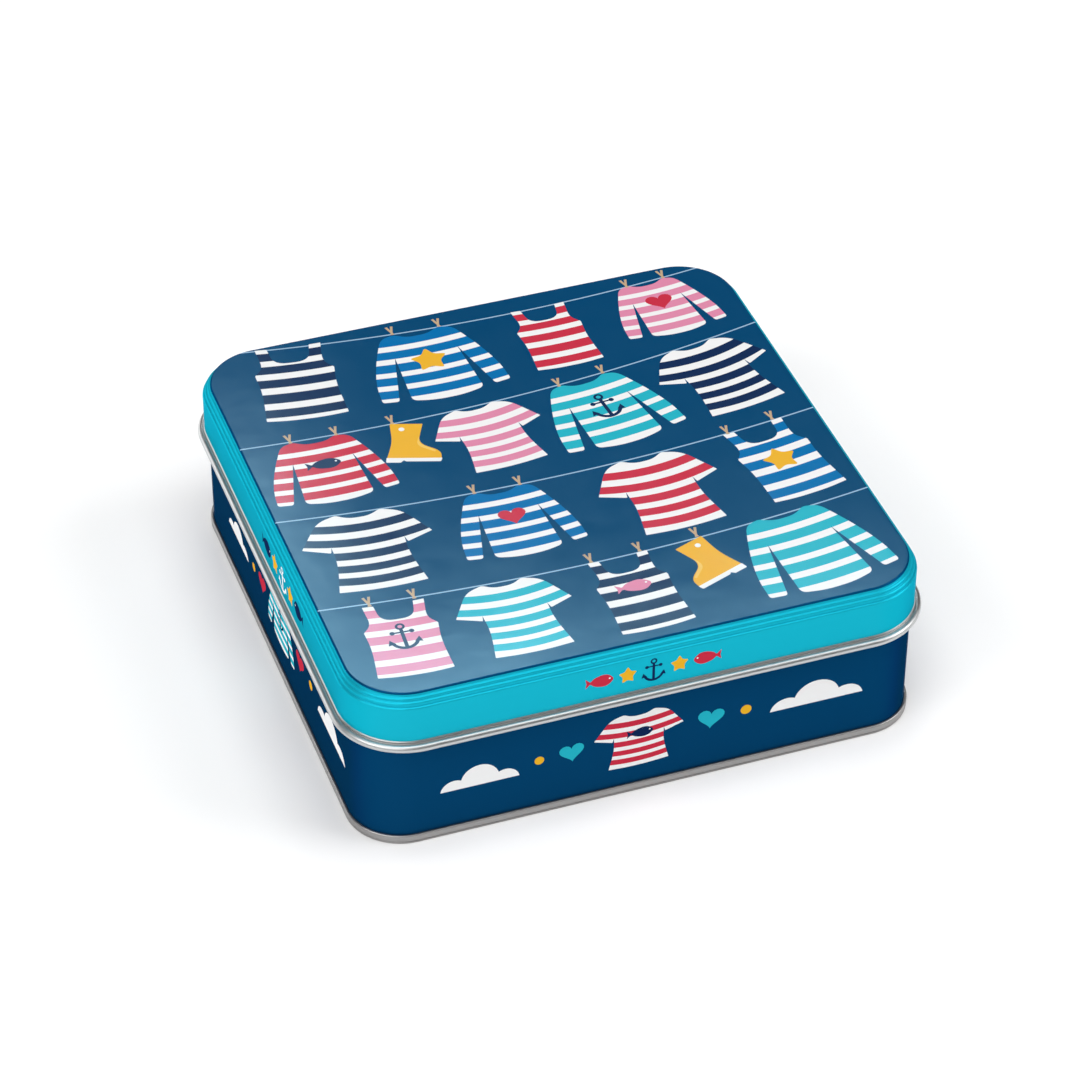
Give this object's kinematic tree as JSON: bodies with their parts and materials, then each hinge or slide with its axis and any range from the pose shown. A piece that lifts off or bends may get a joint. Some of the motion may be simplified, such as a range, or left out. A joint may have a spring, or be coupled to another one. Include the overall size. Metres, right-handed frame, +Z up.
{
  "type": "cookie tin",
  "caption": "Square tinplate box for cookies: a drawn slip lid with a rolled hem lifts straight off a printed wall seamed to a raised base plate",
  "frame": {"origin": "centre of the square footprint, on the floor under the foot seam", "axes": "+Z up along the lid's lift; -Y the front side; +Y the back side with the lock seam; +X right"},
  "size_m": [0.1588, 0.1588, 0.0485],
  "materials": {
    "lid_print": "gloss varnish over print on tinplate, hem left bare",
    "wall_print": "gloss varnish over print on tinplate, plain inside",
    "tinplate": "bare bright tinplate"
  },
  "bodies": {
    "tin": {"body_wall": "wall_print", "base_plate": "tinplate"},
    "lid": {"lid": "lid_print"}
  },
  "joints": [
    {"name": "lid_lift", "type": "slide", "parent": "tin", "child": "lid", "axis": [0, 0, 1], "range_m": [0, 0.06]}
  ]
}
